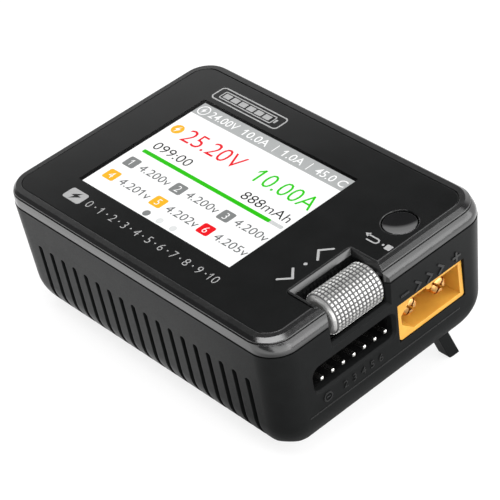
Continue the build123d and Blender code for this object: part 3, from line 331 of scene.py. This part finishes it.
materials["display_glass"] = solid("display_glass", base=[0.01, 0.01, 0.012], rough=0.2,
                                   grain=1.5, bump=0, bevel=0.05)

# ------------------------------------------------------------------ CAD pieces
MATERIAL_OVERRIDES = {"balance_housing": "header_black"}
WELD_DISTANCE = 0.001
SMOOTH_ANGLE = 22        # degrees; sharper edges are split

cad_materials = {s["node"]: s["material_slot"] for s in frame["record"]["subparts"]}
for name, piece in frame["nodes"].items():
    piece.data.materials.clear()
    piece.data.materials.append(materials[MATERIAL_OVERRIDES.get(name, cad_materials[name])])
    for face in piece.data.polygons:
        face.material_index = 0
    piece.data.shade_smooth()
    weld = piece.modifiers.new("weld", "WELD")
    weld.merge_threshold = WELD_DISTANCE * MM
    split = piece.modifiers.new("edges", "EDGE_SPLIT")
    split.split_angle = math.radians(SMOOTH_ANGLE)
    split.use_edge_sharp = False


# ------------------------------------------------------------------ outlines, in mm
def rect(x0, y0, x1, y1):
    return [(x0, y0), (x1, y0), (x1, y1), (x0, y1)]


def rounded_rect(cx, cy, width, height, radius):
    steps = 6
    outline = []
    for sx, sy, start in ((1, -1, -90), (1, 1, 0), (-1, 1, 90), (-1, -1, 180)):
        for i in range(steps + 1):
            angle = math.radians(start + 90 * i / steps)
            outline.append((cx + sx * (width / 2 - radius) + radius * math.cos(angle),
                            cy + sy * (height / 2 - radius) + radius * math.sin(angle)))
    return outline


def disc(cx, cy, radius, sides=40):
    angles = [2 * math.pi * i / sides for i in range(sides)]
    return [(cx + radius * math.cos(a), cy + radius * math.sin(a)) for a in angles]


def stroke(path, width):
    """Outline of a polyline drawn with a round pen."""
    radius, cap_steps = width / 2, 8
    points = [Vector(p) for p in path]
    ways = [(b - a).normalized() for a, b in zip(points, points[1:])]
    left, right = [], []
    for i, point in enumerate(points):
        before, after = ways[max(i - 1, 0)], ways[min(i, len(ways) - 1)]
        way = (before + after).normalized()
        normal = Vector((-way.y, way.x))
        # mitre: corners reach further out, to twice the radius at most
        reach = radius / max(0.5, abs(normal.dot(Vector((-before.y, before.x)))))
        left.append(tuple(point + normal * reach))
        right.append(tuple(point - normal * reach))

    def cap(centre, way, turn):
        start = math.atan2(way.y, way.x) + turn
        angles = [start + math.pi * i / cap_steps for i in range(1, cap_steps)]
        return [(centre[0] + radius * math.cos(a), centre[1] + radius * math.sin(a))
                for a in angles]

    return (right + cap(path[-1], ways[-1], -math.pi / 2)
            + left[::-1] + cap(path[0], ways[0], math.pi / 2))


CAP_HEIGHT = 0.729       # height of the font's capitals at size 1


def text_mesh(string, bold):
    """Vertices and faces of extruded text at size 1; bold widens the strokes."""
    curve = bpy.data.curves.new("t", "FONT")
    curve.body = string
    curve.size = 1.0
    curve.resolution_u = 3
    curve.offset = bold
    curve.extrude = 0.5
    holder = bpy.data.objects.new("t", curve)
    bpy.context.scene.collection.objects.link(holder)
    bpy.context.view_layer.update()
    evaluated = holder.evaluated_get(bpy.context.evaluated_depsgraph_get())
    mesh = bpy.data.meshes.new_from_object(evaluated)
    bpy.data.objects.remove(holder)
    bpy.data.curves.remove(curve)
    verts = [tuple(v.co) for v in mesh.vertices]
    faces = [tuple(f.vertices) for f in mesh.polygons]
    bpy.data.meshes.remove(mesh)
    return verts, faces


# ------------------------------------------------------------------ flat shapes on a surface
class Relief:
    """Shapes between two levels over a surface; place maps (x, y, level) to the frame."""

    def __init__(self, place, levels):
        self.mesh = bmesh.new()
        self.place = place
        self.bottom, self.top = levels

    def vertex(self, x, y, z):
        return self.mesh.verts.new([c * MM for c in self.place(x, y, z)])

    def loop(self, outline, z):
        return [self.vertex(x, y, z) for x, y in outline]

    def face(self, *verts):
        self.mesh.faces.new(verts)

    def close(self, low, high):
        self.face(*low[::-1])
        self.face(*high)
        for i in range(len(low)):
            j = (i + 1) % len(low)
            self.face(low[i], low[j], high[j], high[i])

    def prism(self, outline, lift=0.0):
        low = self.loop(outline, self.bottom)
        self.close(low, self.loop(outline, self.top + lift))

    def ring(self, outer, inner):
        outer_low, outer_high, inner_low, inner_high = [
            self.loop(outline, z) for outline in (outer, inner) for z in (self.bottom, self.top)]
        for i in range(len(outer)):
            j = (i + 1) % len(outer)
            self.face(outer_high[i], outer_high[j], inner_high[j], inner_high[i])
            self.face(outer_low[j], outer_low[i], inner_low[i], inner_low[j])
            self.face(outer_low[i], outer_low[j], outer_high[j], outer_high[i])
            self.face(inner_low[j], inner_low[i], inner_high[i], inner_high[j])

    def text(self, string, x, y, height, width=None, bold=0.0):
        """Text on baseline y: it fills the width from x on, or is centred on x without one."""
        verts, faces = text_mesh(string, bold)
        start, end = min(v[0] for v in verts), max(v[0] for v in verts)
        scale = height / CAP_HEIGHT
        if width is None:
            scale_x, shift = scale, -(end + start) / 2
        else:
            scale_x, shift = width / (end - start), -start

        def at(u, v):
            return x + (u + shift) * scale_x, y + v * scale

        glyphs = [self.vertex(*at(u, v), self.top if w > 0 else self.bottom)
                  for u, v, w in verts]
        for face in faces:
            # bmesh refuses a face that repeats another
            try:
                self.face(*[glyphs[i] for i in face])
            except ValueError:
                pass
        for i, character in enumerate(string):
            if character == "1":
                flag = one_flag(string[:i + 1], bold)
                outline = [at(u, v) for u, v in flag]
                low = self.loop(outline, self.bottom)
                self.close(self.loop(outline, self.top), low)


def one_flag(string, bold):
    """Outline of the flag on the 1 that ends the string; the font's 1 is a bare stem."""
    flag_reach, flag_drop = 0.15, 0.17
    stem = text_mesh("1", bold)[0]
    thick = max(v[0] for v in stem) - min(v[0] for v in stem)
    top = max(v[1] for v in stem)
    left = max(v[0] for v in text_mesh(string, bold)[0]) - thick
    return [(left + thick * 0.2, top), (left - flag_reach, top - flag_drop),
            (left - flag_reach, top - flag_drop - thick * 1.15),
            (left + thick * 0.2, top - thick * 1.3)]


@contextmanager
def relief(name, material, slot, place, levels):
    """Gathers shapes and then builds them as one object on the housing."""
    shapes = Relief(place, levels)
    yield shapes
    mesh = bpy.data.meshes.new(name)
    shapes.mesh.normal_update()
    shapes.mesh.to_mesh(mesh)
    shapes.mesh.free()
    built = bpy.data.objects.new(name, mesh)
    bpy.context.scene.collection.objects.link(built)
    mesh.materials.append(material)
    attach(built, "housing")


# ------------------------------------------------------------------ what the display shows
# Places are measured from the low corner of the lit area.
LIT = {name: glow("lit_" + name, linear(colour)) for name, colour in {
    "white": "#ffffff", "header": "#b2b4b4", "red": "#ec2430", "green": "#2fc314",
    "bright_green": "#35cf14", "ink": "#262626", "grey": "#686a6b", "light": "#cfd1d1",
    "orange": "#fcb92c", "chip_grey": "#858787", "chip_red": "#ee1a24",
    "pale": "#e2e4e4"}.items()}
# Bottom and top levels of the stacked layers
BACKGROUND = (0.002, 0.006)
PATCH = (0.007, 0.014)
READOUT = (0.014, 0.024)
HEADER_MARK = (0.015, 0.024)
PATCH_MARK = (0.016, 0.024)

HEADER_Y = 27.05
BAR_Y = 13.47
PAGE_DOT_Y = 1.52
READOUT_HEIGHT, COUNTER_HEIGHT = 4.0, 2.3
CHIP_SIZE = (2.95, 2.75, 0.45)     # width, height, corner radius
# Centre of each cell's numbered chip
CHIPS = {"1": (3.23, 9.7), "2": (16.26, 9.7), "3": (29.08, 9.7),
         "4": (3.14, 4.95), "5": (16.26, 4.95), "6": (29.08, 4.93)}
# Header texts: string, start x, end x
HEADER_TEXTS = (("24.00V", 3.65, 11.1), ("10.0A", 13.1, 19.5),
                ("1.0A", 23.8, 28.8), ("45.0 C", 32.1, 39.6))
# Cell voltages: string, start x, baseline y
CELL_VOLTS = (("4.200v", 5.65, 8.85), ("4.200v", 18.7, 8.85), ("4.200v", 31.5, 8.85),
              ("4.201v", 5.75, 3.95), ("4.202v", 18.8, 3.95), ("4.205v", 31.65, 3.95))
HEADER_BOLT = [(1.95, 29.62), (1.12, 28.62), (1.64, 28.62),
               (1.45, 27.92), (2.3, 28.95), (1.78, 28.95)]
MODE_BOLT = [(2.55, 22.75), (1.6, 21.6), (2.12, 21.6),
             (1.9, 20.75), (2.85, 21.95), (2.3, 21.95)]


def on_screen(x, y, z):
    return (SCREEN_X + x, SCREEN_Y + y, SCREEN_Z + z)


def screen_piece(name, colour, levels):
    return relief(name, LIT[colour], "display_glass", on_screen, levels)


def chip(shapes, number):
    shapes.prism(rounded_rect(*CHIPS[number], *CHIP_SIZE))


with screen_piece("screen_white", "white", BACKGROUND) as shapes:
    shapes.prism(rect(0, 0, SCREEN_W, SCREEN_H))
with screen_piece("screen_header", "header", PATCH) as shapes:
    shapes.prism(rect(0, HEADER_Y, SCREEN_W, SCREEN_H))

with screen_piece("screen_header_text", "white", HEADER_MARK) as shapes:
    shapes.ring(disc(1.75, 28.78, 1.35), disc(1.75, 28.78, 1.12))
    shapes.prism(HEADER_BOLT)
    for string, start, end in HEADER_TEXTS:
        shapes.text(string, start, 27.85, height=1.95, width=end - start, bold=0.004)
    for x in (21.45, 30.35):
        shapes.prism(rect(x - 0.09, 27.65, x + 0.09, 29.8))

with screen_piece("screen_voltage", "red", READOUT) as shapes:
    shapes.text("25.20V", 4.75, 19.75, height=READOUT_HEIGHT, width=15.4, bold=-0.004)
with screen_piece("screen_current", "bright_green", READOUT) as shapes:
    shapes.text("10.00A", 25.0, 19.5, height=READOUT_HEIGHT, width=14.5, bold=-0.004)
with screen_piece("screen_counters", "ink", READOUT) as shapes:
    shapes.text("099:00", 2.5, 14.95, height=COUNTER_HEIGHT, width=9.9, bold=-0.004)
    shapes.text("888mAh", 26.8, 14.8, height=COUNTER_HEIGHT, width=12.2, bold=-0.004)

with screen_piece("screen_bar_rest", "light", PATCH) as shapes:
    shapes.prism(rounded_rect(37.4, BAR_Y, 4.2, 0.86, 0.3))
with screen_piece("screen_bar", "green", READOUT) as shapes:
    shapes.prism(rounded_rect(19.15, BAR_Y, 34.3, 0.92, 0.3))

with screen_piece("screen_mode", "orange", PATCH) as shapes:
    shapes.prism(disc(2.2, 21.75, 1.32))
    for number in "45":
        chip(shapes, number)
with screen_piece("screen_cells_grey", "chip_grey", PATCH) as shapes:
    for number in "123":
        chip(shapes, number)
    shapes.prism(disc(17.0, PAGE_DOT_Y, 0.78))
with screen_piece("screen_cell_red", "chip_red", PATCH) as shapes:
    chip(shapes, "6")
with screen_piece("screen_page_dots", "pale", PATCH) as shapes:
    for x in (20.6, 24.2):
        shapes.prism(disc(x, PAGE_DOT_Y, 0.74))

with screen_piece("screen_cell_numbers", "white", PATCH_MARK) as shapes:
    for number, (x, y) in CHIPS.items():
        shapes.text(number, x, y - 0.87, height=1.78, bold=-0.01)
    shapes.prism(MODE_BOLT)
with screen_piece("screen_cell_volts", "grey", READOUT) as shapes:
    for string, x, y in CELL_VOLTS:
        shapes.text(string, x, y, height=1.95, width=8.2)

# ------------------------------------------------------------------ print on the top panel
INK = (PANEL_TOP - 0.004, PANEL_TOP + 0.008)
OVERPRINT = (INK[1] + 0.001, INK[1] + 0.008)
BATTERY_Y = 18.72
SCALE_START, SCALE_PITCH, SCALE_LAST = -18.6, 3.3, 10
CHIP_BOLT = [(-21.75, -17.65), (-23.65, -19.05), (-22.75, -19.05),
             (-23.35, -20.1), (-21.35, -18.6), (-22.25, -18.6)]
HOOK = [(27.7, 4.6), (29.3, 4.6), (29.75, 4.75), (29.95, 5.15),
        (29.75, 5.6), (29.3, 5.75), (27.2, 5.75)]


def in_frame(x, y, z):
    return (x, y, z)


def legend_piece(name, ink="legend_ink", levels=INK):
    return relief(name, materials[ink], "panel_gloss", in_frame, levels)


# two chevrons with a dot between them
with legend_piece("legend_nav") as shapes:
    shapes.prism(stroke([(23.4, -12.25), (25.3, -10.45), (23.45, -8.6)], 0.46))
    shapes.prism(stroke([(25.12, -4.45), (23.4, -2.55), (25.15, -0.72)], 0.46))
    shapes.prism(disc(24.28, -6.48, 0.36, sides=24))

# a battery with charge bars inside a rounded frame
with legend_piece("legend_battery") as shapes:
    shapes.ring(rounded_rect(-17.2, BATTERY_Y, 18.0, 3.95, 0.95),
                rounded_rect(-17.2, BATTERY_Y, 17.4, 3.35, 0.68))
    shapes.ring(rounded_rect(-17.6, BATTERY_Y, 14.2, 2.3, 0.35),
                rounded_rect(-17.6, BATTERY_Y, 13.7, 1.8, 0.2))
    shapes.prism(rounded_rect(-10.05, BATTERY_Y, 0.5, 1.1, 0.15))
    for i in range(6):
        shapes.prism(rounded_rect(-23.2 + 2.18 * i, BATTERY_Y, 1.75, 1.3, 0.12))

# a bolt on a rounded chip
with legend_piece("legend_chip") as shapes:
    shapes.prism(rounded_rect(-22.55, -18.85, 4.6, 3.0, 0.6))
with legend_piece("legend_chip_bolt", ink="panel_ink", levels=OVERPRINT) as shapes:
    shapes.prism(CHIP_BOLT)

# a scale of numbers with dots between, along the -Y edge; the wide last one sits further out
with legend_piece("legend_scale") as shapes:
    for i in range(SCALE_LAST + 1):
        x = SCALE_START + SCALE_PITCH * i
        last_shift = 0.45 if i == SCALE_LAST else 0
        shapes.text(str(i), x + last_shift, -19.75, height=1.95, bold=-0.012)
        if i < SCALE_LAST:
            shapes.prism(disc(x + 1.62, -18.8, 0.17, sides=16))

# a hooked arrow, a dot and a square
with legend_piece("legend_return") as shapes:
    shapes.prism(stroke(HOOK, 0.3))
    shapes.prism([(26.35, 5.75), (27.3, 5.15), (27.3, 6.35)])
    shapes.prism(disc(31.05, 5.2, 0.24, sides=20))
    shapes.prism(rounded_rect(32.3, 5.2, 1.3, 1.3, 0.2))

# ------------------------------------------------------------------ raised marks, +X end wall
WALL_LEAN = 0.045        # the wall moves in by this much per mm down from its top
MARK_ROOT, MARK_HEIGHT, BEAD_HEIGHT = -0.1, 0.2, 0.07
WALL_X, _, WALL_TOP = box_mm("lower_case")[1]
output_lo, output_hi = box_mm("output_housing")
OUTPUT_Y = (output_lo[1] + output_hi[1]) / 2
OUTPUT_MARK_Z = output_hi[2] + 1.75
POLE_OFFSET = 6.3
balance_lo, balance_hi = box_mm("balance_pins")
BALANCE_Y = (balance_lo[1] + balance_hi[1]) / 2
BALANCE_MARK_Z = 11.75


def on_end_wall(y, z, out):
    return (WALL_X - WALL_LEAN * (WALL_TOP - z) + out, y, z)


def wall_piece(name, height=MARK_HEIGHT):
    return relief(name, materials["emboss_plastic"], "case_plastic", on_end_wall,
                  (MARK_ROOT, height))


# a minus, a plus and three chevrons between them
with wall_piece("mark_output") as shapes:
    z = OUTPUT_MARK_Z
    shapes.prism(rounded_rect(OUTPUT_Y - POLE_OFFSET, z, 2.0, 0.45, 0.1))
    shapes.prism(rounded_rect(OUTPUT_Y + POLE_OFFSET, z, 2.0, 0.45, 0.1))
    # the upright of the plus stands a hair higher, clear of its crossbar
    shapes.prism(rounded_rect(OUTPUT_Y + POLE_OFFSET, z, 0.45, 2.0, 0.1), lift=0.001)
    for i in range(3):
        y = OUTPUT_Y - 3.1 + 2.8 * i
        shapes.prism(stroke([(y - 0.55, z - 1.0), (y + 0.55, z), (y - 0.55, z + 1.0)], 0.45))

# a thin raised bead across the wall; the raised-mark material paints a highlight on its edges
with wall_piece("end_wall_bead", height=BEAD_HEIGHT) as shapes:
    shapes.prism(rounded_rect(-1.2, 9.55, 36.4, 0.26, 0.12))

# a ringed minus and the numbers 2 to 6
with wall_piece("mark_balance") as shapes:
    y, z = BALANCE_Y - 7.4, BALANCE_MARK_Z
    shapes.ring(disc(y, z, 1.0, sides=32), disc(y, z, 0.72, sides=32))
    shapes.prism(rounded_rect(y, z, 0.9, 0.28, 0.08))
    for i in range(5):
        shapes.text(str(i + 2), BALANCE_Y - 3.3 + 2.1 * i, z - 0.8, height=1.6)

# ------------------------------------------------------------------ floor, in metres
FLOOR_UP = Vector((0, 0.148, 0.989)).normalized()    # the floor tilts a little
FLOOR_LEVEL = -2.5 * MM
FLOOR_REACH = 3.0


def floor_material(name):
    """Pale paper: even to the camera, darker near the +X end in the light it casts."""
    shade_x, shade_y0, shade_y1 = 43.0, -36.0, 14.0      # the line the shade is centred on
    g = Material(name)
    geometry = g.node("ShaderNodeNewGeometry")
    camera_ray = g.node("ShaderNodeLightPath").outputs["Is Camera Ray"]
    tone = g.remap(g.noise(size=60.0), to=(0.22, 0.24))
    x, y, _ = g.xyz()
    past_ends = g.math("MAXIMUM", g.math("SUBTRACT", shade_y0, y),
                       g.math("MAXIMUM", g.math("SUBTRACT", y, shade_y1), 0.0))
    away = g.length(g.math("SUBTRACT", x, shade_x), past_ends)
    cast = g.remap(away, to=(0.2, 1.3), span=(9.0, 50.0), interpolation_type="SMOOTHSTEP")
    seen_colour = g.mix(tone, grey(0.22), grey(0.24))
    paper = g.node("ShaderNodeBsdfDiffuse", {"Color": g.mix(camera_ray, grey(0.2), seen_colour)})
    power = g.math("ADD", g.math("MULTIPLY", camera_ray, 0.82),
                   g.math("MULTIPLY", g.math("SUBTRACT", 1.0, camera_ray), cast))
    light = g.node("ShaderNodeEmission", {"Color": grey(1), "Strength": power})
    lit_paper = g.node("ShaderNodeAddShader", {0: paper, 1: light})
    # clear from below
    return g.done(g.node("ShaderNodeMixShader", {
        0: geometry.outputs["Backfacing"], 1: lit_paper,
        2: g.node("ShaderNodeBsdfTransparent")}))


def build_floor():
    shape = bmesh.new()
    tilt = FLOOR_UP.to_track_quat("Z", "Y")
    shape.faces.new([
        shape.verts.new(tilt @ Vector((x * FLOOR_REACH, y * FLOOR_REACH, 0))
                        + FLOOR_UP * FLOOR_LEVEL)
        for x, y in rect(-1, -1, 1, 1)])
    mesh = bpy.data.meshes.new("floor")
    shape.to_mesh(mesh)
    shape.free()
    floor = bpy.data.objects.new("floor", mesh)
    bpy.context.scene.collection.objects.link(floor)
    mesh.materials.append(floor_material("floor_pale"))


build_floor()

# ------------------------------------------------------------------ world
# Brightness by the height of the direction: first and last stops, then those between
SKY_ENDS = ((0.48, (1.25, 1.25, 1.25, 1)), (0.95, (0.085, 0.087, 0.087, 1)))
SKY_BETWEEN = ((0.56, 0.5), (0.578, 0.27), (0.592, 0.13), (0.61, 0.085))


def build_world():
    world = bpy.data.worlds.new("studio")
    bpy.context.scene.world = world
    g = Graph(world, "ShaderNodeOutputWorld")
    generated = g.node("ShaderNodeTexCoord").outputs["Generated"]
    direction = g.node("ShaderNodeSeparateXYZ", {0: generated}).outputs
    sky = g.node("ShaderNodeValToRGB", {0: direction[2]})
    stops = sky.color_ramp.elements
    for stop, (position, colour) in zip(stops, SKY_ENDS):
        stop.position, stop.color = position, colour
    for position, value in SKY_BETWEEN:
        stops.new(position).color = (*grey(value), 1)
    # the bright wall stands behind the object, the side of the camera is dim
    side = g.remap(direction[1], to=(0.14, 1.0), span=(-0.25, 0.1))
    studio = g.node("ShaderNodeBackground", {"Color": sky, "Strength": side})
    backdrop = g.node("ShaderNodeBackground", {"Color": grey(1), "Strength": 1.05})
    camera_ray = g.node("ShaderNodeLightPath").outputs["Is Camera Ray"]
    g.done(g.node("ShaderNodeMixShader", {0: camera_ray, 1: studio, 2: backdrop}))


build_world()


# ------------------------------------------------------------------ lights and camera
def area_light(name, place, target, size, power):
    """Square area light aimed at the target."""
    data = bpy.data.lights.new(name, "AREA")
    data.energy = power
    data.shape = "RECTANGLE"
    data.size = data.size_y = size
    light = bpy.data.objects.new(name, data)
    bpy.context.scene.collection.objects.link(light)
    light.location = place
    light.rotation_mode = "QUATERNION"
    light.rotation_quaternion = (Vector(target) - Vector(place)).to_track_quat("-Z", "Y")


area_light("key_top", place=(0.05, -0.10, 0.75), target=(0, 0, 0), size=0.55, power=5.5)
area_light("right_back", place=(0.44, 0.32, 0.38), target=(0, 0, 0.02), size=0.6, power=2.5)
area_light("right_side", place=(0.70, -0.25, 0.30), target=(0, 0, 0.015), size=0.8, power=5.0)

CAMERA_PLACE = Vector((0.2388316, -0.1761461, 0.2484108))
# The camera's own axes: to its right, up, and back towards the viewer
CAMERA_AXES = ((0.67027702, 0.73005916, -0.13320037),
               (-0.3883563, 0.49801768, 0.77534365),
               (0.63238287, -0.46796582, 0.61733288))
camera_data = bpy.data.cameras.new("camera")
camera = bpy.data.objects.new("camera", camera_data)
bpy.context.scene.collection.objects.link(camera)
camera_data.sensor_width = 36.0
camera_data.lens = 150.867216
camera_data.clip_start, camera_data.clip_end = 0.01, 20
turn = Matrix(CAMERA_AXES).transposed()
camera.matrix_world = Matrix.Translation(CAMERA_PLACE) @ turn.to_4x4()
bpy.context.scene.camera = camera
bpy.context.scene.view_settings.view_transform = "Standard"
bpy.context.scene.view_settings.look = "None"

bpy.context.view_layer.update()
